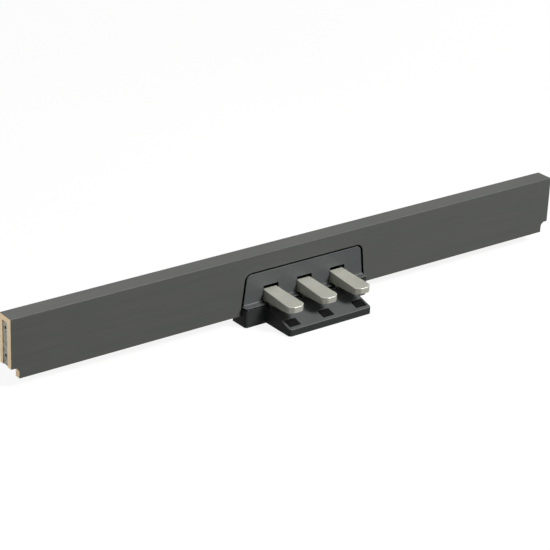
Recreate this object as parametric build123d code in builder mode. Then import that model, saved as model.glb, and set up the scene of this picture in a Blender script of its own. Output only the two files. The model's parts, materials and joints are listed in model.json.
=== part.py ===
from build123d import *
from math import atan, cos, sin
import os

# Pedal board of a digital piano stand: a crossbar folded from laminated board, with a three-pedal unit in
# its middle. Millimetres. +X runs along the board, -Y points to the player and +Z is up. The origin is on
# the floor, at the centre of the footprint.
#
# Heights and depths of every piece are given from the board: `y` is measured back from its front face and
# `z` up from its lower edge, and yz(), at() and block() turn them into the part's own frame.

os.makedirs("parts", exist_ok=True)

MIN = Align.MIN
MAX = Align.MAX
MID = Align.CENTER

# ------------------------------------------------------------------------------- driving dimensions
# crossbar
board_length = 1200
board_height = 110
channel_depth = 36
front_board_t = 12
top_board_t = 10
back_board_t = 9
laminate_t = 0.4
fold_r = 1  # outside radius of the folded edges
back_board_lift = 20  # lower edge of the back board, above that of the front board
notch_width = 15
notch_height = 20
notch_radius = 9

# end brackets, to which the stand's side panels are bolted
bracket_t = 1.6
bracket_recess = 1.5
bracket_gap = 0.2  # between a flange and its board
bracket_bottom = 20.5
bracket_top = 98
bracket_flange = 30
bracket_bolt_pitch = 50
bracket_bolt_z = 63
bolt_hole_r = 3

# pedal unit, outside
front_reach = 82  # board face to the front of the foot plate
rear_reach = 64  # board face to the back of the grommet's lip
base_drop = 19.5  # lower edge of the board to the underside of the housing
foot_t = 1.5
block_half = 137
block_front = -12.7
block_corner_r = 5
parting_z = 16  # joint between front cover and base housing
opening_half = 140.5  # cut-out in the front board, at its lower edge
opening_lean = 0.118  # how much the sides of the cut-out lean in, per mm of height
opening_top = 78.2
opening_corner_r = 15
seam_side = 4.6
seam_top = 3.3
plate_half = 92
plate_tip_z = -6.5
plate_root_z = 12.5
plate_corner_r = 6
wall = 3
rim_wall = 2.5
edge_r = 0.8  # rounding of the moulded edges

# pedals
pedal_pitch = 74.5
pedal_reach = 81.5  # board face to pedal tip
pedal_half_root = 15
pedal_half_tip = 17.8
pedal_tip_flat = 8
pedal_chamfer_start = -73
slot_half = 16.5  # at its top
slot_foot_half = 19.5  # under the ledge
slot_top = 47
slot_corner_r = 1.5
trough_half = 17
trough_floor = 6
trough_front = -42
pivot_y = 45
pivot_z = 30

# mechanism
shaft_r = 4
shaft_half = 117
running_gap = 0.05
lever_half = 8
lever_bottom = 25
lever_top = 33
spring_y = 15
floor_t = 1.5  # bottom plate
frame_t = 2
over = 1  # how far a cutting solid runs past the face it cuts
bite = 0.5  # how far one feature of a moulding runs into the next

# ------------------------------------------------------------------------------- worked-out positions
face = (front_reach - rear_reach) / 2
plate_front = -front_reach
board_z = foot_t + base_drop
board_half = board_length / 2
housing_back = rear_reach - 2
gap_middle = (front_board_t + channel_depth - back_board_t) / 2
plate_top = -base_drop + floor_t  # upper face of the bottom plate
frame_top = plate_top + frame_t
pedal_x = {"left": -pedal_pitch, "middle": 0, "right": pedal_pitch}
plate_slope = (plate_root_z - plate_tip_z) / (block_front - plate_front)
slope_angle = atan(plate_slope)

forward = (0, -1, 0)
backward = (0, 1, 0)
upward = (0, 0, 1)
downward = (0, 0, -1)


def yz(*points):
    """Profile points, measured from the board, as points of Plane.YZ."""
    return [(face + y, board_z + z) for y, z in points]


def at(x, y, z):
    """A point measured from the board, in the part's frame."""
    return (x, face + y, board_z + z)


def block(x, y, z, mode=Mode.ADD):
    """A box between three pairs of limits, added to the part being built."""
    with Locations(at(sum(x) / 2, sum(y) / 2, sum(z) / 2)):
        Box(x[1] - x[0], y[1] - y[0], z[1] - z[0], mode=mode)


def pair(x, y, z, mode=Mode.ADD):
    """The same box on the right and on the left."""
    block(x, y, z, mode)
    block((-x[1], -x[0]), y, z, mode)


def rod(spots, toward, radius, length, mode=Mode.ADD):
    """Round bars or holes that start at the given points and run the same way."""
    with Locations(*[Plane(origin=at(*spot), z_dir=toward) for spot in spots]):
        Cylinder(radius, length, align=(MID, MID, MIN), mode=mode)


def drill(spots, toward, radius, length):
    """Round holes that start at the given points and run the same way."""
    rod(spots, toward, radius, length, Mode.SUBTRACT)


def mirrored(*spots):
    """The points and their mirror images on the left."""
    return [(side * x, y, z) for x, y, z in spots for side in (1, -1)]


def profile_plate(points, half):
    """Solid of a YZ profile, as wide as `half` each way."""
    with BuildPart() as solid:
        with BuildSketch(Plane.YZ) as section:
            with BuildLine():
                Polyline(*yz(*points), close=True)
            make_face()
        extrude(amount=half, both=True)
    return solid.part


def envelope(inset):
    """Solid bar within the outer faces of the crossbar, drawn in by `inset`, with rounded folds."""
    with BuildPart() as solid:
        with BuildSketch(Plane.YZ) as section:
            with BuildLine():
                Polyline(
                    *yz(
                        (inset, 0),
                        (inset, board_height - inset),
                        (channel_depth - inset, board_height - inset),
                        (channel_depth - inset, 0),
                    ),
                    close=True,
                )
            make_face()
            fillet(section.vertices().group_by(Axis.Y)[-1], fold_r - inset)
        extrude(amount=board_half, both=True)
    return solid.part


def opening_solid(inset_side, inset_top, bottom, y):
    """Block with the outline of the cut-out in the front board, drawn in by the two insets."""
    top = opening_top - inset_top

    def half_at(z):
        return opening_half - opening_lean * z - inset_side

    with BuildPart() as solid:
        with BuildSketch(Plane.XZ.offset(-(face + y[0]))) as outline:
            with BuildLine():
                Polyline(
                    (half_at(bottom), board_z + bottom),
                    (half_at(top), board_z + top),
                    (-half_at(top), board_z + top),
                    (-half_at(bottom), board_z + bottom),
                    close=True,
                )
            make_face()
            fillet(outline.vertices().group_by(Axis.Y)[-1], opening_corner_r - inset_side)
        extrude(amount=-(y[1] - y[0]))
    return solid.part


def notch_solid():
    """The two blocks that the end notches of the front board take away."""
    inner = board_half - notch_width
    with BuildPart() as solid:
        with BuildSketch(Plane.XZ.offset(over - face)) as outline:
            with BuildLine():
                Polyline(
                    (inner, board_z - over),
                    (board_half + over, board_z - over),
                    (board_half + over, board_z + notch_height),
                    (inner, board_z + notch_height),
                    close=True,
                )
            make_face()
            fillet(outline.vertices().sort_by_distance((inner, board_z + notch_height))[0], notch_radius)
        extrude(amount=-(front_board_t + 2 * over))
        mirror(about=Plane.YZ)
    return solid.part


def screw_group(spots, toward, shaft_radius, length, head_radius, head_height, sunk=False):
    """Cross-head screws. Each spot is the seat of the head, or its flat top where the head is sunk."""
    seats = [Plane(origin=at(*spot), z_dir=toward) for spot in spots]
    tops = seats if sunk else [seat.offset(-head_height) for seat in seats]
    recess_depth = head_height * 0.55
    recess_span = head_radius * 1.2
    recess_width = head_radius * 0.3
    with BuildPart() as group:
        with Locations(*seats):
            Cylinder(shaft_radius, length, align=(MID, MID, MIN))
            if sunk:
                Cone(head_radius, shaft_radius, head_height, align=(MID, MID, MIN))
            else:
                Cylinder(head_radius, head_height, align=(MID, MID, MAX))
        with Locations(*tops):
            Box(recess_span, recess_width, recess_depth, align=(MID, MID, MIN), mode=Mode.SUBTRACT)
            Box(recess_width, recess_span, recess_depth, align=(MID, MID, MIN), mode=Mode.SUBTRACT)
    return group


def save(builder, name):
    """Label a finished piece and write it as one STEP file."""
    builder.part.label = name
    export_step(builder.part, f"parts/{name}.step")


# ------------------------------------------------------------------------------- fastener positions
wood_screw_r = 2
pilot_gap = 0.05
pilot_r = wood_screw_r + pilot_gap
clear_r = 2.2

bracket_front = front_board_t + bracket_gap
bracket_back = channel_depth - back_board_t - bracket_gap
bracket_screw_x = board_half - 22
bracket_screw_zs = (50, 76)
bracket_front_spots = mirrored(*[(bracket_screw_x, bracket_front + bracket_t, z) for z in bracket_screw_zs])
bracket_back_spots = mirrored(*[(bracket_screw_x, bracket_back - bracket_t, z) for z in bracket_screw_zs])
bracket_front_pilot = 11.5
bracket_back_pilot = 9.5

wing_front = front_board_t + 0.3
wing_back = wing_front + wall
housing_screw_x = 148
housing_screw_spots = mirrored((housing_screw_x, wing_back, 12), (housing_screw_x, wing_back, 32))
housing_pilot = 12.5

rear_flange_back = channel_depth + rim_wall
rear_screw_x = 136
rear_screw_spots = mirrored((rear_screw_x, rear_flange_back, 36), (rear_screw_x, rear_flange_back, 68))
rear_pilot = 9.5

cover_screw_spots = mirrored((124, 7.5, 8))
base_screw_spots = mirrored((55, -70, -base_drop), (118.5, -3, -base_drop), (118.5, 51, -base_drop))
frame_screw_spots = mirrored((88, 4, -base_drop), (88, 50, -base_drop), (22, 50, -base_drop))
foot_spots = mirrored((76, -67, -base_drop), (105, 1, -base_drop), (105, 50, -base_drop))

# ------------------------------------------------------------------------------- crossbar
core_top = board_height - laminate_t
core_back = channel_depth - laminate_t
inner_top = board_height - top_board_t
inner_back = channel_depth - back_board_t
core = envelope(laminate_t)
notches = notch_solid()
opening = opening_solid(0, 0, -over, (-over, front_board_t + over))

# front board: mitred along its upper edge, with the cut-out for the pedal unit and a notch at each end
front_profile = [(laminate_t, 0), (front_board_t, 0), (front_board_t, inner_top), (laminate_t, core_top)]
with BuildPart() as front_board:
    add(profile_plate(front_profile, board_half))
    add(core, mode=Mode.INTERSECT)
    add(notches, mode=Mode.SUBTRACT)
    add(opening, mode=Mode.SUBTRACT)
    drill(bracket_front_spots, forward, pilot_r, bracket_front_pilot)
    drill(housing_screw_spots, forward, pilot_r, housing_pilot)
save(front_board, "front_board")

# top board: mitred along both edges
top_profile = [
    (laminate_t, core_top),
    (front_board_t, inner_top),
    (inner_back, inner_top),
    (core_back, core_top),
]
with BuildPart() as top_board:
    add(profile_plate(top_profile, board_half))
    add(core, mode=Mode.INTERSECT)
save(top_board, "top_board")

# back board: shorter than the front board, with a square cut-out for the rear cover
back_opening_half = 129.5
back_opening_top = 86
back_profile = [
    (core_back, core_top),
    (inner_back, inner_top),
    (inner_back, back_board_lift),
    (core_back, back_board_lift),
]
with BuildPart() as back_opening:
    block(
        (-back_opening_half, back_opening_half),
        (inner_back - over, channel_depth + over),
        (back_board_lift - over, back_opening_top),
    )

with BuildPart() as back_board:
    add(profile_plate(back_profile, board_half))
    add(core, mode=Mode.INTERSECT)
    add(back_opening.part, mode=Mode.SUBTRACT)
    drill(bracket_back_spots, backward, pilot_r, bracket_back_pilot)
    drill(rear_screw_spots, forward, pilot_r, rear_pilot)
save(back_board, "back_board")

# laminate: foil glued around the outside of the three boards
with BuildPart() as laminate_wrap:
    add(envelope(0))
    add(core, mode=Mode.SUBTRACT)
    block(
        (-board_half, board_half),
        (core_back - over, channel_depth + over),
        (-over, back_board_lift),
        Mode.SUBTRACT,
    )
    add(notches, mode=Mode.SUBTRACT)
    add(opening, mode=Mode.SUBTRACT)
    add(back_opening.part, mode=Mode.SUBTRACT)
    drill(rear_screw_spots, forward, pilot_r, rear_pilot)
save(laminate_wrap, "laminate_wrap")

# spreader blocks: glued under the top board between the front and the back board
spreader_xs = (200, 440)
spreader_half = 20
spreader_height = 30
with BuildPart() as spreader_blocks:
    for x in spreader_xs:
        pair(
            (x - spreader_half, x + spreader_half),
            (front_board_t, inner_back),
            (inner_top - spreader_height, inner_top),
        )
save(spreader_blocks, "spreader_blocks")

# end brackets: a web across each end of the channel, with a flange along the inside of each board
web_outside = board_half - bracket_recess
web_inside = web_outside - bracket_t
flange_end = web_outside - bracket_flange
bracket_z = (bracket_bottom, bracket_top)
bolt_zs = (bracket_bolt_z - bracket_bolt_pitch / 2, bracket_bolt_z + bracket_bolt_pitch / 2)
for name, side in (("left_end_bracket", -1), ("right_end_bracket", 1)):
    outline = sorted((side * flange_end, side * web_outside))
    hollow = sorted((side * (flange_end - over), side * web_inside))
    with BuildPart() as end_bracket:
        block(outline, (bracket_front, bracket_back), bracket_z)
        block(hollow, (bracket_front + bracket_t, bracket_back - bracket_t), (0, board_height), Mode.SUBTRACT)
        drill([(side * web_outside, gap_middle, z) for z in bolt_zs], (-side, 0, 0), bolt_hole_r, bracket_t)
        drill([spot for spot in bracket_front_spots if spot[0] * side > 0], forward, clear_r, bracket_t)
        drill([spot for spot in bracket_back_spots if spot[0] * side > 0], backward, clear_r, bracket_t)
    save(end_bracket, name)

# weld nuts behind the bolt holes
nut_r = 5
nut_t = 5
with BuildPart() as bracket_nuts:
    for side in (1, -1):
        seats = [(side * web_inside, gap_middle, z) for z in bolt_zs]
        rod(seats, (-side, 0, 0), nut_r, nut_t)
        drill(seats, (-side, 0, 0), bolt_hole_r, nut_t)
save(bracket_nuts, "bracket_nuts")

wood_head_r = 3.6
wood_head_t = 1.8
bracket_front_screws = screw_group(bracket_front_spots, forward, wood_screw_r, 11, wood_head_r, wood_head_t)
save(bracket_front_screws, "bracket_front_screws")
bracket_back_screws = screw_group(bracket_back_spots, backward, wood_screw_r, 9, wood_head_r, wood_head_t)
save(bracket_back_screws, "bracket_back_screws")

# ------------------------------------------------------------------------------- front cover
ledge_t = 1.7
ledge_top = parting_z + ledge_t
ledge_fillet = 2.5
slot_height = slot_top - parting_z + over
board_gap = 0.3  # between the mouldings and the face of the front board
cover_post_r = 4
cover_post_height = 14
cover_rib_half = 1.5
cover_pilot_r = 1.55
cover_pilot = 11
hook_x = (55, 75)
hook_t = 2
hook_y = (front_board_t + board_gap, front_board_t + board_gap + hook_t)
hook_arm_top = opening_top - seam_top - rim_wall
hook_top = opening_top + 5

# face of the cover, which closes the cut-out in the front board
with BuildPart() as cover_face:
    add(opening_solid(seam_side, seam_top, parting_z, (0, front_board_t)))
    outer_edges = cover_face.faces().sort_by(Axis.Y)[0].edges()
    fillet(outer_edges.filter_by(lambda e: e.center().Z > board_z + parting_z + 1), edge_r)

# ledge under it, on top of the block
with BuildPart() as ledge_form:
    block((-block_half, block_half), (block_front, -board_gap), (parting_z, ledge_top))
    fillet(ledge_form.edges().filter_by(Axis.Z).group_by(Axis.Y)[0], block_corner_r)
    ledge_rim = ledge_form.faces().sort_by(Axis.Z)[-1].edges()
    fillet(ledge_rim.filter_by(lambda e: e.center().Y < face - 1), edge_r)

# hollow curve between the two
with BuildPart() as curve_form:
    with BuildSketch(Plane.YZ):
        with BuildLine():
            Polyline(
                *yz(
                    (-ledge_fillet, ledge_top),
                    (-ledge_fillet, parting_z),
                    (bite, parting_z),
                    (bite, ledge_top + ledge_fillet),
                    (0, ledge_top + ledge_fillet),
                )
            )
            RadiusArc(*yz((-ledge_fillet, ledge_top), (0, ledge_top + ledge_fillet)), ledge_fillet)
        make_face()
    extrude(amount=block_half, both=True)
    add(opening_solid(seam_side, seam_top, parting_z, (-ledge_fillet - over, over)), mode=Mode.INTERSECT)

with BuildPart() as front_cover:
    add(cover_face.part)
    add(
        opening_solid(
            seam_side + rim_wall, seam_top + rim_wall, parting_z - over, (wall, front_board_t + over)
        ),
        mode=Mode.SUBTRACT,
    )
    add(ledge_form.part)
    add(curve_form.part)
    for x in pedal_x.values():
        slot_foot = at(x, wall + over, parting_z - over)
        with BuildSketch(Plane(origin=slot_foot, x_dir=(1, 0, 0), z_dir=forward)) as slot:
            with BuildLine():
                Polyline(
                    (-slot_foot_half, 0),
                    (slot_foot_half, 0),
                    (slot_half, slot_height),
                    (-slot_half, slot_height),
                    close=True,
                )
            make_face()
            fillet(slot.vertices().group_by(Axis.Y)[-1], slot_corner_r)
        extrude(amount=wall + 2 * over - block_front, mode=Mode.SUBTRACT)
    for x, y, z in cover_screw_spots:
        rod([(x, y, parting_z)], upward, cover_post_r, cover_post_height)
        block(
            (x - cover_rib_half, x + cover_rib_half),
            (wall - bite, y),
            (parting_z, parting_z + cover_post_height),
        )
        drill([(x, y, parting_z)], upward, cover_pilot_r, cover_pilot)
    # hooks that reach up behind the front board
    pair(hook_x, (wall, hook_y[1]), (hook_arm_top - hook_t, hook_arm_top))
    pair(hook_x, hook_y, (hook_arm_top - hook_t / 2, hook_top))
save(front_cover, "front_cover")

# ------------------------------------------------------------------------------- base housing
neck_half = 133.5
neck_back = 19
skirt_back = 26  # of the part under the board
groove_height = 2  # dark joint under the ledge
groove_depth = 2
tray_half = 127.5
tray_top = 10
wing_half = 158
wing_z = (1, 40)
block_inner = block_half - wall
seat_half = block_half - groove_depth
groove_z = parting_z - groove_height
neck_inner = neck_half - wall
tray_inner = tray_half - wall
cavity_front = block_front + wall
cavity_z = (-base_drop - over, parting_z + over)
roof_z = trough_floor - wall
plate_rim_r = 2.4
plate_roof_t = wall + 1  # measured straight up
rib_half = 1
rib_gap = 0.2  # between the ribs and the bottom plate
post_r = 4.4
post_top = plate_top + 24
post_rib_half = 2
tip_post_r = 4
base_pilot_r = 1.65
base_pilot = 8
sleeve_r = 4.5
sleeve_bottom = -10
sleeve_seat = 8  # where the head of a cover screw rests
sleeve_bore_r = 3.5
sleeve_screw_r = 1.7
pad_size = (24, 18.5)
pad_middle = -66
pad_gap = 0.3
pad_depth = 1.6
pad_t = 2.5


def sloped(z_at_front, y):
    """Height of a surface that runs parallel to the top of the foot plate."""
    return z_at_front + (y - plate_front) * plate_slope


hollow_front = plate_front + wall
hollow_z = plate_tip_z - plate_roof_t
hollow_level_y = plate_front + (roof_z - hollow_z) / plate_slope
plate_profile = [
    (block_front + bite, -base_drop),
    (plate_front, -base_drop),
    (plate_front, plate_tip_z),
    (block_front, plate_root_z),
    (block_front + bite, plate_root_z),
]
plate_hollow_profile = [
    (cavity_front + bite, -base_drop - over),
    (hollow_front, -base_drop - over),
    (hollow_front, sloped(hollow_z, hollow_front)),
    (hollow_level_y, roof_z),
    (cavity_front + bite, roof_z),
]
rib_profile = [
    (cavity_front - bite, plate_top + rib_gap),
    (hollow_front - bite, plate_top + rib_gap),
    (hollow_front - bite, sloped(hollow_z, hollow_front) + bite),
    (hollow_level_y, roof_z + bite),
    (cavity_front - bite, roof_z + bite),
]
pad_plane = Plane(
    origin=at(0, pad_middle, sloped(plate_tip_z, pad_middle)),
    x_dir=(1, 0, 0),
    z_dir=(0, -sin(slope_angle), cos(slope_angle)),
)

# foot plate, which slopes down towards the player
with BuildPart() as plate_form:
    add(profile_plate(plate_profile, plate_half))
    fillet(plate_form.edges().filter_by(Axis.Z).group_by(Axis.Y)[0], plate_corner_r)
    slope_face = plate_form.faces().filter_by(lambda f: f.normal_at().Z > 0.9).sort_by(Axis.Y)[0]
    fillet(slope_face.edges().filter_by(lambda e: e.center().Y < face + block_front - 1), plate_rim_r)

# block in front of the board
with BuildPart() as block_form:
    block((-block_half, block_half), (block_front, -board_gap), (-base_drop, groove_z))
    fillet(block_form.edges().filter_by(Axis.Z).group_by(Axis.Y)[0], block_corner_r)
    block_rim = block_form.faces().sort_by(Axis.Z)[-1].edges()
    fillet(block_rim.filter_by(lambda e: e.center().Y < face - 1), edge_r)

# what the ledge rests on, set back to leave a groove
with BuildPart() as seat_form:
    block((-seat_half, seat_half), (block_front + groove_depth, -board_gap), (groove_z - bite, parting_z))
    fillet(seat_form.edges().filter_by(Axis.Z).group_by(Axis.Y)[0], block_corner_r - groove_depth)

# hollow of the foot plate
with BuildPart() as hollow_form:
    add(profile_plate(plate_hollow_profile, plate_half - wall))
    fillet(hollow_form.edges().filter_by(Axis.Z).group_by(Axis.Y)[0], plate_corner_r - wall)

with BuildPart() as base_housing:
    add(block_form.part)
    add(seat_form.part)
    add(plate_form.part)
    block((-block_half, block_half), (-bite, skirt_back), (-base_drop, -bite))
    block((-neck_half, neck_half), (-bite, neck_back), (-base_drop, parting_z))
    block((-tray_half, tray_half), (neck_back, housing_back), (-base_drop, tray_top))
    pair((neck_half - bite, wing_half), (wing_front, wing_back), wing_z)
    # hollow of the block, the neck, the rear tray and the foot plate, open below
    block((-block_inner, block_inner), (cavity_front, -board_gap - wall), cavity_z, Mode.SUBTRACT)
    block((-neck_inner, neck_inner), (-bite - wall, neck_back - wall), cavity_z, Mode.SUBTRACT)
    block((-tray_inner, tray_inner), (cavity_front, housing_back - wall), cavity_z, Mode.SUBTRACT)
    add(hollow_form.part, mode=Mode.SUBTRACT)
    # ribs under the foot plate
    for x in (-pedal_pitch / 2, pedal_pitch / 2):
        add(profile_plate(rib_profile, rib_half).moved(Location((x, 0, 0))))
    # troughs that the pedals come down into
    for x in pedal_x.values():
        block(
            (x - trough_half, x + trough_half),
            (trough_front, cavity_front + bite),
            (trough_floor, parting_z + over),
            Mode.SUBTRACT,
        )
    # posts for the screws from below
    for x, y, z in base_screw_spots:
        if y < block_front:
            rod([(x, y, plate_top)], upward, tip_post_r, sloped(hollow_z, y) - plate_top + bite)
        else:
            rod([(x, y, plate_top)], upward, post_r, post_top - plate_top)
            if y < 0:
                rib_x = (x - post_rib_half, x + post_rib_half)
                rib_y = (cavity_front - bite, y)
            else:
                rib_x = sorted((x, (tray_inner + bite) * (1 if x > 0 else -1)))
                rib_y = (y - post_rib_half, y + post_rib_half)
            block(rib_x, rib_y, (plate_top, post_top))
        drill([(x, y, plate_top)], upward, base_pilot_r, base_pilot)
    # sleeves for the screws that hold the front cover
    for x, y, z in cover_screw_spots:
        rib_x = sorted((x, (neck_inner + bite) * (1 if x > 0 else -1)))
        rod([(x, y, sleeve_bottom)], upward, sleeve_r, parting_z - sleeve_bottom)
        block(rib_x, (y - post_rib_half, y + post_rib_half), (sleeve_bottom, parting_z))
        drill([(x, y, sleeve_bottom)], upward, sleeve_bore_r, sleeve_seat - sleeve_bottom)
        drill([(x, y, 0)], upward, sleeve_screw_r, parting_z)
    # pockets for the rubber pads
    with BuildSketch(pad_plane):
        with Locations(*[(x, 0) for x in pedal_x.values()]):
            Rectangle(pad_size[0] + 2 * pad_gap, pad_size[1] + 2 * pad_gap)
    extrude(amount=-pad_depth, mode=Mode.SUBTRACT)
    drill(housing_screw_spots, forward, clear_r, wall)
save(base_housing, "base_housing")

# rubber pads in the foot plate, under the pedal tips
with BuildPart() as stop_pads:
    with BuildSketch(pad_plane.offset(-pad_depth)):
        with Locations(*[(x, 0) for x in pedal_x.values()]):
            Rectangle(*pad_size)
    extrude(amount=pad_t)
    fillet(stop_pads.faces().filter_by(lambda f: f.normal_at().Z > 0.9).edges(), 0.5)
save(stop_pads, "stop_pads")

# ------------------------------------------------------------------------------- bottom plate and feet
sunk_head_r = 3.3
sunk_gap = 0.1
tongue_half = plate_half - wall - 1
floor_half = tray_inner - 1
floor_y = (cavity_front + 1, housing_back - wall - 1)
with BuildPart() as bottom_plate:
    block((-floor_half, floor_half), floor_y, (-base_drop, plate_top))
    block((-tongue_half, tongue_half), (hollow_front + 1, floor_y[0] + 1), (-base_drop, plate_top))
    fillet(bottom_plate.edges().filter_by(Axis.Z).group_by(Axis.Y)[0], plate_corner_r - wall - 1)
    for spots, hole_r in ((base_screw_spots, base_pilot_r + pilot_gap), (frame_screw_spots, pilot_r)):
        with Locations(*[Plane(origin=at(*spot), z_dir=upward) for spot in spots]):
            Cone(sunk_head_r + sunk_gap, hole_r, floor_t, align=(MID, MID, MIN), mode=Mode.SUBTRACT)
save(bottom_plate, "bottom_plate")

foot_r = 7.5
with BuildPart() as rubber_feet:
    rod(foot_spots, downward, foot_r, foot_t)
    fillet(rubber_feet.faces().group_by(Axis.Z)[0].edges(), 0.5)
save(rubber_feet, "rubber_feet")

# ------------------------------------------------------------------------------- rear cover and grommet
rear_top = 84
rear_front = 20
rear_corner_r = 5
rear_rim_r = 3
rear_inner = tray_half - rim_wall
flange_half = 143
flange_top = 80
grommet_spot = (-60, housing_back - rim_wall, 45)
grommet_neck_r = 6
grommet_lip_r = 8
grommet_lip_t = 2
grommet_bore_r = 2.8
vent_x = (22, 52)
vent_zs = (24, 34, 44, 54, 64)
vent_height = 3
with BuildPart() as rear_cover:
    block((-tray_half, tray_half), (rear_front, housing_back), (tray_top, rear_top))
    fillet(rear_cover.edges().filter_by(Axis.Z).group_by(Axis.Y)[-1], rear_corner_r)
    fillet(rear_cover.faces().sort_by(Axis.Z)[-1].edges().group_by(Axis.Y)[-1], rear_rim_r)
    block(
        (-rear_inner, rear_inner),
        (rear_front - over, housing_back - rim_wall),
        (tray_top - over, rear_top - rim_wall),
        Mode.SUBTRACT,
    )
    pair(
        (tray_half - bite, flange_half),
        (channel_depth, rear_flange_back),
        (back_board_lift + rim_wall, flange_top),
    )
    drill([grommet_spot], backward, grommet_neck_r + 0.1, rim_wall)
    drill(rear_screw_spots, forward, clear_r, rim_wall)
    for z in vent_zs:
        block(
            vent_x,
            (housing_back - rim_wall - over, housing_back + over),
            (z, z + vent_height),
            Mode.SUBTRACT,
        )
save(rear_cover, "rear_cover")

with BuildPart() as cable_grommet:
    x, y, z = grommet_spot
    rod([(x, y - grommet_lip_t, z)], backward, grommet_lip_r, grommet_lip_t)
    rod([(x, y, z)], backward, grommet_neck_r, rim_wall)
    rod([(x, housing_back, z)], backward, grommet_lip_r, grommet_lip_t)
    fillet(cable_grommet.edges().filter_by(GeomType.CIRCLE).group_by(Axis.Y)[-1], 1.2)
    drill([(x, y - grommet_lip_t, z)], backward, grommet_bore_r, 2 * grommet_lip_t + rim_wall)
save(cable_grommet, "cable_grommet")

# ------------------------------------------------------------------------------- pivot frame
frame_half = 113
frame_y = (-8.5, housing_back - wall - 2)
ear_x = (-112, -pedal_pitch / 2, pedal_pitch / 2, 112)
ear_t = 2
ear_y = (36, 54)
arm_bottom = 20
bar_y = (20, 32)
felt_t = 3
felt_gap = 0.3
bar_bottom = lever_top + felt_gap + felt_t
bar_top = bar_bottom + frame_t
spring_peg_r = 3
lower_peg = 8
upper_peg = 5
stop_y = (-7, 3)
stop_half = 6.5
stop_top = 14.5
stop_felt_t = 2.5
felt_margin = 0.5
rest_felt_half = 12

with BuildPart() as pivot_frame:
    block((-frame_half, frame_half), frame_y, (plate_top, frame_top))
    for x in ear_x:
        ear = (x - ear_t / 2, x + ear_t / 2)
        block(ear, ear_y, (frame_top, bar_top))
        block(ear, (bar_y[0], ear_y[0] + over), (arm_bottom, bar_top))
    block((-frame_half, frame_half), bar_y, (bar_bottom, bar_top))
    drill([(-frame_half, pivot_y, pivot_z)], (1, 0, 0), shaft_r + running_gap, 2 * frame_half)
    for x in pedal_x.values():
        rod([(x, spring_y, frame_top)], upward, spring_peg_r, lower_peg)
        block((x - stop_half, x + stop_half), stop_y, (frame_top, stop_top))
    drill([(x, y, plate_top) for x, y, z in frame_screw_spots], upward, pilot_r, frame_t)
save(pivot_frame, "pivot_frame")

clip_t = 0.9
clip_r = 7
clip_gap = 0.05  # on each side of a clip in its groove
clip_mouth_half = 2.2
groove_t = clip_t + 2 * clip_gap
groove_r = shaft_r - 0.8
clip_xs = (frame_half + 0.2, -frame_half - 0.2 - groove_t)
with BuildPart() as grooves:
    for x in clip_xs:
        rod([(x, pivot_y, pivot_z)], (1, 0, 0), shaft_r + over, groove_t)
        drill([(x, pivot_y, pivot_z)], (1, 0, 0), groove_r, groove_t)

with BuildPart() as pivot_shaft:
    rod([(-shaft_half, pivot_y, pivot_z)], (1, 0, 0), shaft_r, 2 * shaft_half)
    chamfer(pivot_shaft.edges(), 0.5)
    add(grooves.part, mode=Mode.SUBTRACT)
save(pivot_shaft, "pivot_shaft")

with BuildPart() as shaft_clips:
    for x in clip_xs:
        start = x + clip_gap
        rod([(start, pivot_y, pivot_z)], (1, 0, 0), clip_r, clip_t)
        drill([(start, pivot_y, pivot_z)], (1, 0, 0), groove_r + clip_gap, clip_t)
        block(
            (start - over, start + clip_t + over),
            (pivot_y - clip_mouth_half, pivot_y + clip_mouth_half),
            (pivot_z - clip_r - over, pivot_z),
            Mode.SUBTRACT,
        )
save(shaft_clips, "shaft_clips")

bush_half = 12
end_play = 0.3
spacer_r = 6
spacer_gap = 0.1
with BuildPart() as pivot_spacers:
    for x in pedal_x.values():
        for ear in [e for e in ear_x if abs(e - x) < pedal_pitch / 2 + 1]:
            side = 1 if ear > x else -1
            start = x + side * (bush_half + end_play)
            length = abs(ear - start) - ear_t / 2 - spacer_gap
            rod([(start, pivot_y, pivot_z)], (side, 0, 0), spacer_r, length)
            drill([(start, pivot_y, pivot_z)], (side, 0, 0), shaft_r + running_gap, length)
save(pivot_spacers, "pivot_spacers")

with BuildPart() as rest_felts:
    for x in pedal_x.values():
        block(
            (x - rest_felt_half, x + rest_felt_half),
            (bar_y[0] + felt_margin, bar_y[1] - felt_margin),
            (lever_top + felt_gap, bar_bottom),
        )
save(rest_felts, "rest_felts")

with BuildPart() as down_stop_felts:
    for x in pedal_x.values():
        block(
            (x - stop_half + felt_margin, x + stop_half - felt_margin),
            (stop_y[0] + felt_margin, stop_y[1] - felt_margin),
            (stop_top, stop_top + stop_felt_t),
        )
save(down_stop_felts, "down_stop_felts")

# ------------------------------------------------------------------------------- sensor board
board_under = 12
board_t = 1.6
board_half_x = 100
board_y = (24, 34)
board_spots = mirrored((95, 29, frame_top), (20, 29, frame_top))
board_screw_r = 1.2
standoff_r = 3
board_on_top = board_under + board_t
chip_t = 1.5
plug_x = (49, 61)
plug_y = (25.5, 32.5)
plug_height = 6
plug_wall = 1
with BuildPart() as board_standoffs:
    rod(board_spots, upward, standoff_r, board_under - frame_top)
    drill(board_spots, upward, board_screw_r + pilot_gap, board_under - frame_top)
save(board_standoffs, "board_standoffs")

with BuildPart() as sensor_board:
    block((-board_half_x, board_half_x), board_y, (board_under, board_on_top))
    drill([(x, y, board_under) for x, y, z in board_spots], upward, board_screw_r + 0.3, board_t)
save(sensor_board, "sensor_board")

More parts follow.
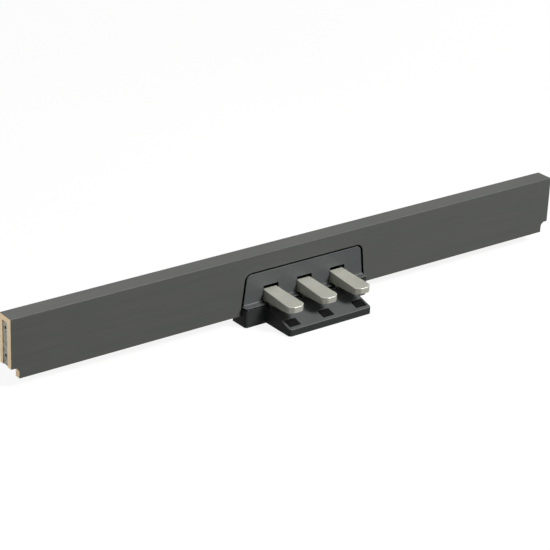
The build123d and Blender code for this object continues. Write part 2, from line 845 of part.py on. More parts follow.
# one sensor under each lever, and the socket for the cable
with BuildPart() as sensor_chips:
    for x in pedal_x.values():
        block((x - 3, x + 3), (27, 31), (board_on_top, board_on_top + chip_t))
    block(plug_x, plug_y, (board_on_top, board_on_top + plug_height))
    block(
        (plug_x[0] + plug_wall, plug_x[1] - plug_wall),
        (plug_y[0] + plug_wall, plug_y[1] - plug_wall),
        (board_on_top + plug_wall, board_on_top + plug_height + over),
        Mode.SUBTRACT,
    )
save(sensor_chips, "sensor_chips")

board_screw_seats = [(x, y, board_on_top) for x, y, z in board_spots]
sensor_board_screws = screw_group(board_screw_seats, downward, board_screw_r, 8, 2.6, 1.4)
save(sensor_board_screws, "sensor_board_screws")

# ------------------------------------------------------------------------------- pedals
pedal_back = 3
pedal_top_root = 39.8
pedal_top_middle = 36.8
pedal_top_tip = 35
pedal_low_root = 18.6
pedal_low_bend = 22
pedal_low_bend_y = -68
pedal_low_tip = 24
pedal_corner_r = 8
pedal_rim_r = 1.7
channel_half = 9
channel_front = -60
pocket_half = 7.5
pocket_y = (-76, -63)
lever_front = -58
boss_half = 10
boss_r = 9
bush_r = 6.98
cap_screw_y = (-12, -42)
cap_screw_r = 1.55
cap_screw_length = 10
cap_pilot_r = 1.6
cap_pilot = 2.4
magnet_y = 29
magnet_r = 3
magnet_t = 2
wire_r = 0.7
coil_r = 6
coil_turns = 7
coil_gap = 0.1  # between the spring and its seats
coil_height = lever_bottom - frame_top - 2 * (wire_r + coil_gap)

for name, x in pedal_x.items():
    # moulded pedal, hollow below, closed at its tip
    with BuildPart() as pedal:
        with BuildSketch(Plane.XY.offset(board_z)):
            with BuildLine():
                Polyline(
                    (x - pedal_half_root, face + pedal_back),
                    (x - pedal_half_root, face),
                    (x - pedal_half_tip, face + pedal_chamfer_start),
                    (x - pedal_tip_flat, face - pedal_reach),
                    (x + pedal_tip_flat, face - pedal_reach),
                    (x + pedal_half_tip, face + pedal_chamfer_start),
                    (x + pedal_half_root, face),
                    (x + pedal_half_root, face + pedal_back),
                    close=True,
                )
            make_face()
        extrude(amount=pedal_top_root + over)
        with BuildSketch(Plane.YZ.offset(x)):
            with BuildLine():
                Polyline(
                    *yz(
                        (pedal_back, pedal_top_root),
                        (pedal_back, pedal_low_root),
                        (0, pedal_low_root),
                        (pedal_low_bend_y, pedal_low_bend),
                        (-pedal_reach, pedal_low_tip),
                        (-pedal_reach, pedal_top_tip),
                    )
                )
                ThreePointArc(
                    *yz(
                        (-pedal_reach, pedal_top_tip),
                        (-pedal_reach / 2, pedal_top_middle),
                        (pedal_back, pedal_top_root),
                    )
                )
            make_face()
        extrude(amount=pedal_half_tip + over, both=True, mode=Mode.INTERSECT)
        tip_edges = pedal.edges().filter_by(Axis.Z).filter_by(lambda e: e.center().Y < face - pedal_reach / 2)
        fillet(tip_edges, pedal_corner_r)
        rim_edges = pedal.faces().sort_by(Axis.Z)[-1].edges()
        fillet(rim_edges.filter_by(lambda e: e.center().Y < face + pedal_back - 1), pedal_rim_r)
        channel_y = (channel_front, pedal_back + over)
        block((x - channel_half, x + channel_half), channel_y, (0, lever_top), Mode.SUBTRACT)
        block((x - pocket_half, x + pocket_half), pocket_y, (0, lever_top - 1), Mode.SUBTRACT)
        drill([(x, y, lever_top) for y in cap_screw_y], upward, cap_pilot_r, cap_pilot)
    save(pedal, f"{name}_pedal")

    # steel lever inside the pedal, with the boss that takes the bush
    with BuildPart() as lever:
        block((x - lever_half, x + lever_half), (lever_front, pivot_y), (lever_bottom, lever_top))
        fillet(lever.edges().filter_by(Axis.Z).group_by(Axis.Y)[0], 4)
        rod([(x - boss_half, pivot_y, pivot_z)], (1, 0, 0), boss_r, 2 * boss_half)
        drill([(x - boss_half, pivot_y, pivot_z)], (1, 0, 0), bush_r + 0.02, 2 * boss_half)
        rod([(x, spring_y, lever_bottom)], downward, spring_peg_r, upper_peg)
        drill([(x, y, lever_bottom) for y in cap_screw_y], upward, 2.1, lever_top - lever_bottom)
    save(lever, f"{name}_lever")

    # nylon bush pressed into the boss
    with BuildPart() as bush:
        rod([(x - bush_half, pivot_y, pivot_z)], (1, 0, 0), bush_r, 2 * bush_half)
        drill([(x - bush_half, pivot_y, pivot_z)], (1, 0, 0), shaft_r + running_gap, 2 * bush_half)
    save(bush, f"{name}_bush")

    # magnet glued under the lever, over its sensor
    with BuildPart() as magnet:
        rod([(x, magnet_y, lever_bottom)], downward, magnet_r, magnet_t)
        chamfer(magnet.edges(), 0.3)
    save(magnet, f"{name}_magnet")

    cap_screw_seats = [(x, y, lever_bottom) for y in cap_screw_y]
    pedal_screws = screw_group(cap_screw_seats, upward, cap_screw_r, cap_screw_length, 3.4, 2.2)
    save(pedal_screws, f"{name}_pedal_screws")

    # return spring between the peg on the frame and the peg on the lever
    with BuildPart() as spring:
        with BuildLine(Plane(origin=at(x, spring_y, frame_top + wire_r + coil_gap))) as coil:
            Helix(coil_height / coil_turns, coil_height, coil_r)
        with BuildSketch(Plane(origin=coil.line @ 0, z_dir=coil.line % 0)):
            Circle(wire_r)
        sweep(is_frenet=True)
    save(spring, f"{name}_spring")

# ------------------------------------------------------------------------------- fasteners
housing_screws = screw_group(housing_screw_spots, forward, wood_screw_r, 12, wood_head_r, wood_head_t)
save(housing_screws, "housing_screws")

rear_cover_screws = screw_group(rear_screw_spots, forward, wood_screw_r, 9, wood_head_r, wood_head_t)
save(rear_cover_screws, "rear_cover_screws")

cover_screws = screw_group(cover_screw_spots, upward, cover_pilot_r - pilot_gap, 18, 3.2, 2)
save(cover_screws, "cover_screws")

base_screw_r = base_pilot_r - pilot_gap
base_screws = screw_group(base_screw_spots, upward, base_screw_r, 8, sunk_head_r, floor_t, sunk=True)
save(base_screws, "base_screws")

frame_screws = screw_group(frame_screw_spots, upward, wood_screw_r, 8, sunk_head_r, floor_t, sunk=True)
save(frame_screws, "frame_screws")

nut_across = 3.9
nut_height = 3
with BuildPart() as frame_nuts:
    for x, y, z in frame_screw_spots:
        with BuildSketch(Plane(origin=at(x, y, frame_top))):
            RegularPolygon(nut_across, 6)
            Circle(pilot_r, mode=Mode.SUBTRACT)
        extrude(amount=nut_height)
save(frame_nuts, "frame_nuts")
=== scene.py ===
import json
import math

import bmesh
import bpy
from mathutils import Matrix, Vector


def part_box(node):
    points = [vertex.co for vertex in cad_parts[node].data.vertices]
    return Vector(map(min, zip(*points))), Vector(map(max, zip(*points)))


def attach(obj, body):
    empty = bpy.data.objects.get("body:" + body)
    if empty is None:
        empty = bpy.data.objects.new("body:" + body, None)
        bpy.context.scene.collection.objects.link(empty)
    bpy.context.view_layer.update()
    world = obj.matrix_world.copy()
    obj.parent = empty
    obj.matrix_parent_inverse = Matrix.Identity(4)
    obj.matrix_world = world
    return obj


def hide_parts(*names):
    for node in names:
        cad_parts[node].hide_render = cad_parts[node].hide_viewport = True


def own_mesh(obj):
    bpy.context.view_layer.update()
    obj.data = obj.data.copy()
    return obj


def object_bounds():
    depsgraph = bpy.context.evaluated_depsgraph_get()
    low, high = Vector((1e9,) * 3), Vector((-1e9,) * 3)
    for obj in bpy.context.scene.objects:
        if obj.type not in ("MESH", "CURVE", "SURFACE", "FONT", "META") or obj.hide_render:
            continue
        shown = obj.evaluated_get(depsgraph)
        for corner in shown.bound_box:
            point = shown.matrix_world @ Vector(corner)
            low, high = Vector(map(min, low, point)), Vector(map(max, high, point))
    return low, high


# Looks of a piano pedal board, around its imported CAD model. Metres, in the frame of the part: +X runs
# along the board, -Y points to the player and +Z is up. Colours are in sRGB, from 0 to 255.

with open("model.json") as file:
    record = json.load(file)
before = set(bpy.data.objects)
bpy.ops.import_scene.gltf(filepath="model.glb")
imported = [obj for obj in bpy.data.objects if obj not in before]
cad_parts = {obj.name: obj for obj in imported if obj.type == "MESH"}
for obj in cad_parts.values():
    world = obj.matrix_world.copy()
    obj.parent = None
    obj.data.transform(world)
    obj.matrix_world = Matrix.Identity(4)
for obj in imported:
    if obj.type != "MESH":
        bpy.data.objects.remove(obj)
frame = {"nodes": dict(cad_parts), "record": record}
cad_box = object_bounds()
MM = 0.001


def linear(colour):
    """An sRGB colour as the linear RGBA that shaders take."""
    scaled = [c / 255 for c in colour]
    return [c / 12.92 if c <= 0.04045 else ((c + 0.055) / 1.055) ** 2.4 for c in scaled] + [1.0]


class Nodes:
    """A node tree, put together from short calls."""

    def __init__(self, tree):
        self.tree = tree

    def feed(self, socket, value):
        """Link a socket to another, or give it a constant."""
        if isinstance(value, bpy.types.NodeSocket):
            self.tree.links.new(value, socket)
        else:
            socket.default_value = value

    def node(self, kind, settings=(), **inputs):
        """A new node. Underscores stand for the spaces in the names of its inputs."""
        made = self.tree.nodes.new(kind)
        for key, value in dict(settings).items():
            setattr(made, key, value)
        for key, value in inputs.items():
            self.feed(made.inputs[key.replace("_", " ")], value)
        return made

    def calc(self, operation, first, second=0.0):
        """One step of arithmetic."""
        made = self.node("ShaderNodeMath", {"operation": operation})
        self.feed(made.inputs[0], first)
        self.feed(made.inputs[1], second)
        return made.outputs[0]

    def times(self, value, factor):
        """A value multiplied."""
        return self.calc("MULTIPLY", value, factor)

    def span(self, value, low, high, start=0.0, end=1.0):
        """The part of a value from low to high, stretched to run from start to end."""
        made = self.node(
            "ShaderNodeMapRange", Value=value, From_Min=low, From_Max=high, To_Min=start, To_Max=end
        )
        return made.outputs["Result"]

    def blend_shaders(self, factor, first, second):
        """The first shader where the factor is 0, and the second where it is 1."""
        made = self.node("ShaderNodeMixShader")
        for index, value in enumerate((factor, first, second)):
            self.feed(made.inputs[index], value)
        return made.outputs["Shader"]


class Finish(Nodes):
    """A procedural material. Patterns are placed in the frame of the part."""

    def __init__(self, name, **fixed):
        self.material = bpy.data.materials.new(name)
        self.material.use_nodes = True
        super().__init__(self.material.node_tree)
        self.shader = self.tree.nodes["Principled BSDF"]
        for socket, value in fixed.items():
            self.shader.inputs[socket.replace("_", " ")].default_value = value
        self.place = self.node("ShaderNodeTexCoord").outputs["Object"]

    def stretched(self, x=1.0, y=1.0, z=1.0):
        """Coordinates in which a pattern runs that much longer along each axis."""
        made = self.node("ShaderNodeMapping", Vector=self.place, Scale=(1 / x, 1 / y, 1 / z))
        return made.outputs["Vector"]

    def noise(self, size, detail=2.0, at=None, distortion=0.0):
        """Cloudy pattern from 0 to 1, with features of about that size."""
        made = self.node(
            "ShaderNodeTexNoise",
            Vector=at or self.place,
            Scale=1 / size,
            Detail=detail,
            Distortion=distortion,
        )
        return made.outputs["Fac"]

    def cells(self, size, output="Distance", at=None):
        """Voronoi cells of about that size."""
        made = self.node("ShaderNodeTexVoronoi", Vector=at or self.place, Scale=1 / size)
        return made.outputs[output]

    def sum(self, *values):
        """Values added up."""
        total = values[0]
        for value in values[1:]:
            total = self.calc("ADD", total, value)
        return total

    def axis(self, letter):
        """One coordinate in the frame of the part."""
        return self.node("ShaderNodeSeparateXYZ", Vector=self.place).outputs[letter]

    def upward(self):
        """1 on faces that look straight up, 0 on upright ones and -1 on undersides."""
        normal = self.node("ShaderNodeNewGeometry").outputs["Normal"]
        return self.node("ShaderNodeSeparateXYZ", Vector=normal).outputs["Z"]

    def near(self, letter, place, reach):
        """1 at a coordinate, down to 0 at that reach to either side of it."""
        away = self.calc("SUBTRACT", self.axis(letter), place)
        return self.span(self.calc("ABSOLUTE", away), 0, reach, 1, 0)

    def inside(self, letter, limit):
        """1 where a coordinate is less than the limit away from 0, and 0 past it."""
        return self.span(self.near(letter, 0, limit), 0, 0.001, 0, 1)

    def ramp(self, value, *stops):
        """Colour that runs through its (place, colour) stops."""
        made = self.node("ShaderNodeValToRGB", Fac=value)
        elements = made.color_ramp.elements
        elements[0].position = stops[0][0]
        elements[1].position = stops[-1][0]
        for place, _ in stops[1:-1]:
            elements.new(place)
        for element, (_, colour) in zip(elements, stops):
            element.color = linear(colour)
        return made.outputs["Color"]

    def mix(self, factor, below, above):
        """Two colours, one over the other. The node keeps its colour sockets after those for other types."""
        made = self.node("ShaderNodeMix", {"data_type": "RGBA"})
        for index, value in ((0, factor), (6, below), (7, above)):
            self.feed(made.inputs[index], value)
        return made.outputs[2]

    def relief(self, height, depth):
        """Bump of that real depth, on top of the relief so far."""
        made = self.node("ShaderNodeBump", Height=height, Distance=depth)
        normal = self.shader.inputs["Normal"]
        if normal.links:
            self.feed(made.inputs["Normal"], normal.links[0].from_socket)
        self.feed(normal, made.outputs["Normal"])

    def done(self, colour, roughness):
        """Set the two sockets that every finish drives, and give back the material."""
        self.feed(self.shader.inputs["Base Color"], colour)
        self.feed(self.shader.inputs["Roughness"], roughness)
        return self.material


# the cut edge of the cut-out around the front cover is coloured near-black as painted shade in the seam, up
# to this far past the cover
PAINT_MARGIN = Vector((3.5, 0, 3)) * MM
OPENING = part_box("front_cover")[1] + PAINT_MARGIN


def grey_laminate():
    """Satin printed foil: faint long grain, fine emboss, and a patchy painted highlight along the folds."""
    low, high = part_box("laminate_wrap")
    paint = Finish("grey_laminate", Specular_IOR_Level=0.3)
    grain = paint.noise(1.6 * MM, 3, paint.stretched(60, 1, 1), 0.4)
    figure = paint.noise(9 * MM, 2, paint.stretched(22, 1, 1), 0.8)
    cloud = paint.noise(140 * MM, 2)
    fleck = paint.cells(0.9 * MM)
    shade = paint.sum(paint.times(grain, 0.45), paint.times(figure, 0.3), paint.times(cloud, 0.25))
    colour = paint.ramp(shade, (0.3, (92, 94, 92)), (0.5, (96, 98, 95)), (0.7, (101, 102, 99)))
    colour = paint.mix(paint.span(fleck, 0.0, 0.25, 0.10, 0.0), colour, linear((130, 132, 128)))
    # painted highlight along the folds of the foil, patchy along their length
    folds = paint.times(paint.near("Z", high.z, 1.6 * MM), paint.near("Y", low.y, 1.6 * MM))
    painted_highlight = paint.times(folds, paint.span(paint.noise(25 * MM, 3), 0.3, 0.7, 0.2, 0.6))
    colour = paint.mix(painted_highlight, colour, linear((122, 123, 119)))
    smears = paint.span(paint.noise(70 * MM, 4, paint.stretched(2.5, 1, 1)), 0.3, 0.7, 0.40, 0.50)
    paint.relief(paint.noise(200 * MM, 1), 0.10 * MM)
    paint.relief(grain, 0.030 * MM)
    paint.relief(fleck, 0.010 * MM)
    return paint.done(colour, smears)


def fibreboard():
    """Raw sawn fibreboard: short pressed fibres, darker flecks, saw marks, and near-black painted shade on
    the cut edge in the seam around the front cover.
    """
    paint = Finish("fibreboard", Specular_IOR_Level=0.25)
    fibres = paint.noise(0.7 * MM, 6, paint.stretched(1, 3, 1), 1.2)
    crossing = paint.noise(0.7 * MM, 6, paint.stretched(1, 1, 3), 1.2)
    patches = paint.noise(6 * MM, 3)
    shade = paint.sum(paint.times(fibres, 0.4), paint.times(crossing, 0.35), paint.times(patches, 0.25))
    colour = paint.ramp(
        shade,
        (0.30, (178, 150, 116)),
        (0.45, (214, 190, 156)),
        (0.58, (224, 203, 171)),
        (0.72, (236, 218, 190)),
    )
    chips = paint.span(paint.cells(2.2 * MM, at=paint.stretched(1, 2.4, 1)), 0.0, 0.16, 0.55, 0.0)
    colour = paint.mix(chips, colour, linear((150, 118, 84)))
    # near-black painted shade on the cut edge in the seam around the front cover
    opening = paint.times(paint.inside("X", OPENING.x), paint.inside("Z", OPENING.z))
    colour = paint.mix(opening, colour, linear((12, 12, 12)))
    paint.relief(shade, 0.12 * MM)
    paint.relief(paint.noise(1.1 * MM, 1, paint.stretched(30, 30, 1)), 0.05 * MM)
    return paint.done(colour, paint.span(patches, 0.3, 0.7, 0.78, 0.92))


def zinc_steel():
    """Zinc-plated sheet steel: soft spangle, and rolling marks."""
    paint = Finish("zinc_steel", Metallic=0.85)
    spangle = paint.cells(5 * MM, "Color")
    tone = paint.node("ShaderNodeSeparateColor", Color=spangle).outputs[0]
    rolled = paint.noise(0.8 * MM, 3, paint.stretched(1, 1, 25))
    colour = paint.ramp(
        paint.sum(paint.times(tone, 0.5), paint.times(rolled, 0.5)),
        (0.2, (186, 188, 176)),
        (0.5, (199, 201, 189)),
        (0.8, (211, 213, 202)),
    )
    dulled = paint.span(paint.noise(12 * MM, 4), 0.45, 0.75, 0.0, 0.35)
    colour = paint.mix(dulled, colour, linear((140, 143, 136)))
    paint.relief(rolled, 0.01 * MM)
    return paint.done(colour, paint.span(tone, 0, 1, 0.38, 0.55))


def bright_steel():
    """Ground steel rod and spring wire."""
    paint = Finish("bright_steel", Metallic=1.0)
    turned = paint.noise(0.15 * MM, 2, paint.stretched(1, 12, 12))
    film = paint.noise(6 * MM, 3)
    colour = paint.ramp(film, (0.3, (178, 177, 174)), (0.7, (208, 207, 203)))
    paint.relief(turned, 0.004 * MM)
    return paint.done(colour, paint.span(film, 0.3, 0.7, 0.16, 0.30))


def black_screw():
    """Black oxide on a screw, worn towards steel in its recess."""
    paint = Finish("black_screw", Metallic=0.7)
    worn = paint.noise(1.2 * MM, 4)
    colour = paint.ramp(worn, (0.3, (24, 24, 26)), (0.62, (40, 40, 41)), (0.75, (92, 90, 86)))
    paint.relief(paint.noise(0.3 * MM, 2), 0.01 * MM)
    return paint.done(colour, paint.span(worn, 0.3, 0.7, 0.48, 0.34))


def moulded(name, tones, scuff, shaded, painted_highlight=0.0):
    """Plastic from a spark-textured mould, with soft flow marks, and a painted sheen that makes faces that
    look up lighter.
    """
    dark, middle, light = tones
    paint = Finish(name, Specular_IOR_Level=0.45)
    flow = paint.noise(55 * MM, 3, paint.stretched(2, 1, 1), 0.6)
    stipple = paint.noise(0.55 * MM, 2)
    pits = paint.cells(0.8 * MM)
    shade = paint.sum(paint.times(flow, 0.6), paint.times(stipple, 0.4))
    colour = paint.ramp(shade, (0.3, dark), (0.5, middle), (0.7, light))
    marks = paint.noise(2.2 * MM, 5, paint.stretched(9, 2, 1), 0.5)
    colour = paint.mix(paint.span(marks, 0.66, 0.78, 0.0, 0.30), colour, linear(scuff))
    # painted sheen: faces that look up are coloured lighter, by the given amount
    up = paint.span(paint.upward(), 0.45, 0.95, 0.0, painted_highlight)
    colour = paint.mix(up, colour, paint.ramp(shade, (0.3, (88, 92, 91)), (0.7, (98, 101, 100))))
    # near-black painted shade, where the given mask is 1
    colour = paint.mix(shaded(paint), colour, linear((9, 9, 9)))
    paint.relief(stipple, 0.020 * MM)
    paint.relief(pits, 0.012 * MM)
    return paint.done(colour, paint.span(flow, 0.3, 0.7, 0.40, 0.50))


def grey_cover():
    """Cover plastic, with near-black painted shade on its edge where it turns back into the board."""
    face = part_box("laminate_wrap")[0].y

    # painted shade in the seam, on the cover's edge behind the board's face
    def painted_seam_shade(paint):
        return paint.span(paint.axis("Y"), face + 0.3 * MM, face + 0.9 * MM)

    tones = ((88, 91, 92), (93, 96, 96), (98, 100, 100))
    return moulded("grey_cover", tones, (120, 122, 122), painted_seam_shade)


def dark_housing():
    """Darker plastic, with painted shade in the joint groove under the cover, and the painted sheen on faces
    that look up.
    """
    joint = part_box("front_cover")[0].z - 1.2 * MM

    # near-black painted shade in the joint groove under the cover
    def painted_joint_shade(paint):
        return paint.span(paint.near("Z", joint, 1.7 * MM), 0, 0.2)

    tones = ((53, 55, 55), (57, 59, 59), (61, 63, 63))
    return moulded("dark_housing", tones, (74, 76, 75), painted_joint_shade, painted_highlight=1.0)


def coated_steel():
    """Powder-coated sheet steel with its orange peel."""
    paint = Finish("coated_steel", Specular_IOR_Level=0.5)
    peel = paint.noise(1.4 * MM, 2)
    cloud = paint.noise(40 * MM, 2)
    shade = paint.sum(paint.times(peel, 0.4), paint.times(cloud, 0.6))
    colour = paint.ramp(shade, (0.3, (44, 45, 46)), (0.7, (56, 57, 58)))
    paint.relief(peel, 0.05 * MM)
    return paint.done(colour, paint.span(cloud, 0.3, 0.7, 0.40, 0.52))


def pedal_grey():
    """Satin metallic paint: fine flake, soft clouding, a painted highlight on the rims, and tips polished by
    the shoe.
    """
    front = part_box("middle_pedal")[0].y
    paint = Finish("pedal_grey", Metallic=0.25, Coat_Weight=0.25, Coat_Roughness=0.22)
    flake = paint.node("ShaderNodeSeparateColor", Color=paint.cells(0.35 * MM, "Color")).outputs[0]
    cloud = paint.noise(18 * MM, 3)
    shade = paint.sum(paint.times(flake, 0.35), paint.times(cloud, 0.65))
    colour = paint.ramp(shade, (0.25, (202, 202, 190)), (0.5, (210, 210, 197)), (0.75, (218, 218, 206)))
    tip = paint.span(paint.axis("Y"), front, front + 30 * MM, 1, 0)
    brushed = paint.noise(1.5 * MM, 4, paint.stretched(1, 7, 1), 0.3)
    polished = paint.times(tip, paint.span(brushed, 0.5, 0.75, 0.0, 0.5))
    colour = paint.mix(polished, colour, linear((206, 206, 198)))
    lean = paint.upward()
    # painted highlight on the rounded rims between the top and the sides
    rim = paint.times(paint.span(lean, 0.25, 0.5, 0, 1), paint.span(lean, 0.9, 0.98, 1, 0))
    colour = paint.mix(paint.times(rim, 0.85), colour, linear((240, 240, 230)))
    paint.relief(paint.noise(0.5 * MM, 2), 0.008 * MM)
    paint.relief(brushed, 0.006 * MM)
    return paint.done(colour, paint.span(cloud, 0.3, 0.7, 0.30, 0.40))


def nylon():
    """Plain nylon, a little clouded."""
    paint = Finish("nylon", Subsurface_Weight=0.15, Subsurface_Radius=(0.002, 0.0015, 0.001))
    cloud = paint.noise(4 * MM, 3)
    colour = paint.ramp(cloud, (0.3, (214, 211, 200)), (0.7, (232, 230, 221)))
    paint.relief(paint.noise(0.4 * MM, 2), 0.01 * MM)
    return paint.done(colour, paint.span(cloud, 0.3, 0.7, 0.38, 0.50))


def black_rubber():
    """Matt rubber with dust in its texture."""
    paint = Finish("black_rubber", Specular_IOR_Level=0.2)
    grain = paint.noise(0.6 * MM, 3)
    dust = paint.noise(7 * MM, 5)
    colour = paint.ramp(grain, (0.3, (10, 11, 11)), (0.7, (17, 18, 18)))
    colour = paint.mix(paint.span(dust, 0.5, 0.8, 0.0, 0.15), colour, linear((64, 64, 61)))
    paint.relief(grain, 0.05 * MM)
    return paint.done(colour, paint.span(dust, 0.3, 0.7, 0.70, 0.86))


def felt():
    """Pressed wool felt."""
    paint = Finish("felt", Specular_IOR_Level=0.15, Sheen_Weight=0.6, Sheen_Roughness=0.6)
    fibre = paint.noise(0.35 * MM, 5, paint.stretched(3, 1, 1), 1.5)
    matted = paint.noise(2.5 * MM, 3)
    colour = paint.ramp(
        paint.sum(paint.times(fibre, 0.6), paint.times(matted, 0.4)), (0.3, (34, 34, 35)), (0.7, (58, 57, 57))
    )
    paint.relief(fibre, 0.2 * MM)
    return paint.done(colour, paint.span(matted, 0.3, 0.7, 0.88, 0.97))


def circuit_board():
    """Green solder mask over copper tracks."""
    paint = Finish("circuit_board", Coat_Weight=0.4, Coat_Roughness=0.15)
    made = paint.node("ShaderNodeTexBrick", Vector=paint.place, Scale=60.0, Mortar_Size=0.035)
    tracks = made.outputs["Fac"]
    cloud = paint.noise(8 * MM, 2)
    colour = paint.ramp(cloud, (0.3, (24, 76, 44)), (0.7, (32, 92, 54)))
    colour = paint.mix(paint.times(tracks, 0.6), colour, linear((58, 128, 74)))
    paint.relief(tracks, 0.03 * MM)
    return paint.done(colour, paint.span(cloud, 0.3, 0.7, 0.30, 0.40))


def black_chip():
    """Moulded epoxy package."""
    paint = Finish("black_chip", Specular_IOR_Level=0.4)
    grain = paint.noise(0.3 * MM, 3)
    colour = paint.ramp(grain, (0.3, (24, 24, 26)), (0.7, (38, 38, 40)))
    paint.relief(grain, 0.02 * MM)
    return paint.done(colour, paint.span(grain, 0.3, 0.7, 0.55, 0.68))


FINISHES = {
    make.__name__: make()
    for make in (
        grey_laminate,
        fibreboard,
        zinc_steel,
        bright_steel,
        black_screw,
        grey_cover,
        dark_housing,
        coated_steel,
        pedal_grey,
        nylon,
        black_rubber,
        felt,
        circuit_board,
        black_chip,
    )
}

for part in frame["record"]["subparts"]:
    for holder in frame["nodes"][part["node"]].material_slots:
        holder.material = FINISHES[part["material_slot"]]


# ------------------------------------------------------------------------------- return springs
def tube(name, path, radius, sides=10):
    """A closed round tube along a path of points."""
    mesh = bmesh.new()
    rings = []
    side_axis = Vector((0, 0, 1))
    for i, point in enumerate(path):
        ahead = (path[min(i + 1, len(path) - 1)] - path[max(i - 1, 0)]).normalized()
        side_axis = (side_axis - ahead * side_axis.dot(ahead)).normalized()
        across = ahead.cross(side_axis)
        ring = []
        for k in range(sides):
            turn = 2 * math.pi * k / sides
            outward = math.cos(turn) * side_axis + math.sin(turn) * across
            ring.append(mesh.verts.new(point + radius * outward))
        rings.append(ring)
    for a, b in zip(rings, rings[1:]):
        for k in range(sides):
            face = mesh.faces.new((a[k], a[(k + 1) % sides], b[(k + 1) % sides], b[k]))
            face.smooth = True
    mesh.faces.new(list(reversed(rings[0])))
    mesh.faces.new(rings[-1])
    bmesh.ops.recalc_face_normals(mesh, faces=mesh.faces)
    data = bpy.data.meshes.new(name)
    mesh.to_mesh(data)
    mesh.free()
    made = bpy.data.objects.new(name, data)
    bpy.context.scene.collection.objects.link(made)
    return made


WIRE_R = 0.7 * MM
OPEN_TURNS = 6
DEAD_TURNS = 1  # closed turns at each end
DEAD_PITCH = 2.1 * WIRE_R
STEPS = 28  # per turn

for side in ("left", "middle", "right"):
    low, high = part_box(f"{side}_spring")
    centre = (low + high) / 2
    coil_r = (high.x - low.x) / 2 - WIRE_R
    bottom, top = low.z + WIRE_R, high.z - WIRE_R
    dead = DEAD_TURNS * DEAD_PITCH
    turns = OPEN_TURNS + 2 * DEAD_TURNS
    path = []
    for i in range(turns * STEPS + 1):
        turn = i / STEPS
        if turn <= DEAD_TURNS:
            height = bottom + dead * turn / DEAD_TURNS
        elif turn >= turns - DEAD_TURNS:
            height = top - dead * (turns - turn) / DEAD_TURNS
        else:
            height = bottom + dead + (top - bottom - 2 * dead) * (turn - DEAD_TURNS) / OPEN_TURNS
        angle = 2 * math.pi * turn
        x = centre.x + coil_r * math.cos(angle)
        y = centre.y + coil_r * math.sin(angle)
        path.append(Vector((x, y, height)))
    spring = tube(f"{side}_return_spring", path, WIRE_R)
    spring.data.materials.append(FINISHES["bright_steel"])
    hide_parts(f"{side}_spring")
    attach(spring, "board")
    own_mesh(spring)

# ------------------------------------------------------------------------------- floor, light and camera
FLOOR_HALF = 60.0
bpy.ops.mesh.primitive_plane_add(size=2 * FLOOR_HALF, location=(0, 0, cad_box[0].z))
floor = bpy.context.object
floor.name = "studio_floor"
floor.visible_diffuse = False
floor.visible_glossy = False

paint = Finish("studio_floor", Specular_IOR_Level=0.1, Emission_Strength=0.87)
pale = paint.ramp(paint.noise(0.8, 2), (0.3, (112, 112, 111)), (0.7, (115, 115, 114)))
paint.shader.inputs["Emission Color"].default_value = (1, 1, 1, 1)
floor.data.materials.append(paint.done(pale, paint.span(paint.noise(0.5, 2), 0.3, 0.7, 0.8, 0.9)))
# the floor is clear from below, so that the underside of the part can be looked at
underneath = paint.node("ShaderNodeNewGeometry").outputs["Backfacing"]
clear = paint.node("ShaderNodeBsdfTransparent").outputs["BSDF"]
surface = paint.blend_shaders(underneath, paint.shader.outputs["BSDF"], clear)
paint.feed(paint.tree.nodes["Material Output"].inputs["Surface"], surface)

FILL = 0.15
BACKDROP = 1.06
world = bpy.data.worlds.new("studio")
bpy.context.scene.world = world
world.use_nodes = True
sky = Nodes(world.node_tree)
fill = sky.tree.nodes["Background"]
fill.inputs["Color"].default_value = (1, 1, 1, 1)
fill.inputs["Strength"].default_value = FILL
backdrop = sky.node("ShaderNodeBackground", Color=(1, 1, 1, 1), Strength=BACKDROP)
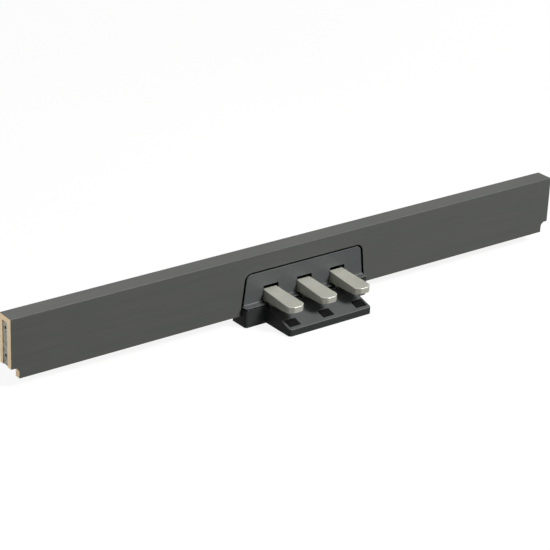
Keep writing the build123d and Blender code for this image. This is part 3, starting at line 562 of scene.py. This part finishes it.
# the backdrop shows behind the part and in its sheen, and the room in front of it is dim
rays = sky.node("ShaderNodeLightPath")
toward = sky.node("ShaderNodeSeparateXYZ", Vector=sky.node("ShaderNodeTexCoord").outputs["Generated"])
behind = sky.span(toward.outputs["Y"], 0.4, 0.85)
above = sky.span(toward.outputs["Z"], -0.05, 0.15)
sheen = sky.times(sky.times(behind, above), rays.outputs["Is Glossy Ray"])
shown = sky.calc("MAXIMUM", rays.outputs["Is Camera Ray"], sheen)
both = sky.blend_shaders(shown, fill.outputs["Background"], backdrop.outputs["Background"])
sky.feed(sky.tree.nodes["World Output"].inputs["Surface"], both)


def softbox(name, target, direction, distance, size, energy):
    """A square area light that shines on a point from a direction."""
    light = bpy.data.lights.new(name, "AREA")
    light.shape = "SQUARE"
    light.size = size
    light.energy = energy
    lamp = bpy.data.objects.new(name, light)
    bpy.context.scene.collection.objects.link(lamp)
    away = Vector(direction).normalized()
    lamp.location = Vector(target) + away * distance
    lamp.rotation_mode = "QUATERNION"
    lamp.rotation_quaternion = away.to_track_quat("Z", "Y")


board_low, board_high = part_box("laminate_wrap")
board_middle = (board_low + board_high) / 2
softbox("key_softbox", board_middle, direction=(0.40, -0.67, 0.76), distance=7.0, size=2.2, energy=480.0)
left_end = (board_low.x, board_middle.y, board_middle.z)
softbox("end_softbox", left_end, direction=(-1.0, 0.16, 0.25), distance=0.5, size=0.16, energy=1.8)

AZIMUTH = math.radians(37.738)
ELEVATION = math.radians(24.076)
ROLL = math.radians(2.361)
DISTANCE = 3.5479
LENS = 131.58
AIM_OFFSET = Vector((-0.0666, 0, 0.0073))  # from the middle of the board's front face

aim = Vector((board_middle.x, board_low.y, board_middle.z)) + AIM_OFFSET
ahead = Vector(
    (
        math.sin(AZIMUTH) * math.cos(ELEVATION),
        math.cos(AZIMUTH) * math.cos(ELEVATION),
        -math.sin(ELEVATION),
    )
)
camera_data = bpy.data.cameras.new("camera")
camera_data.lens = LENS
camera_data.clip_end = 2 * FLOOR_HALF
camera = bpy.data.objects.new("camera", camera_data)
bpy.context.scene.collection.objects.link(camera)
level = ahead.to_track_quat("-Z", "Y").to_matrix().to_4x4()
camera.matrix_world = Matrix.Translation(aim - ahead * DISTANCE) @ level @ Matrix.Rotation(ROLL, 4, "Z")
bpy.context.scene.camera = camera

bpy.context.scene.view_settings.view_transform = "Standard"
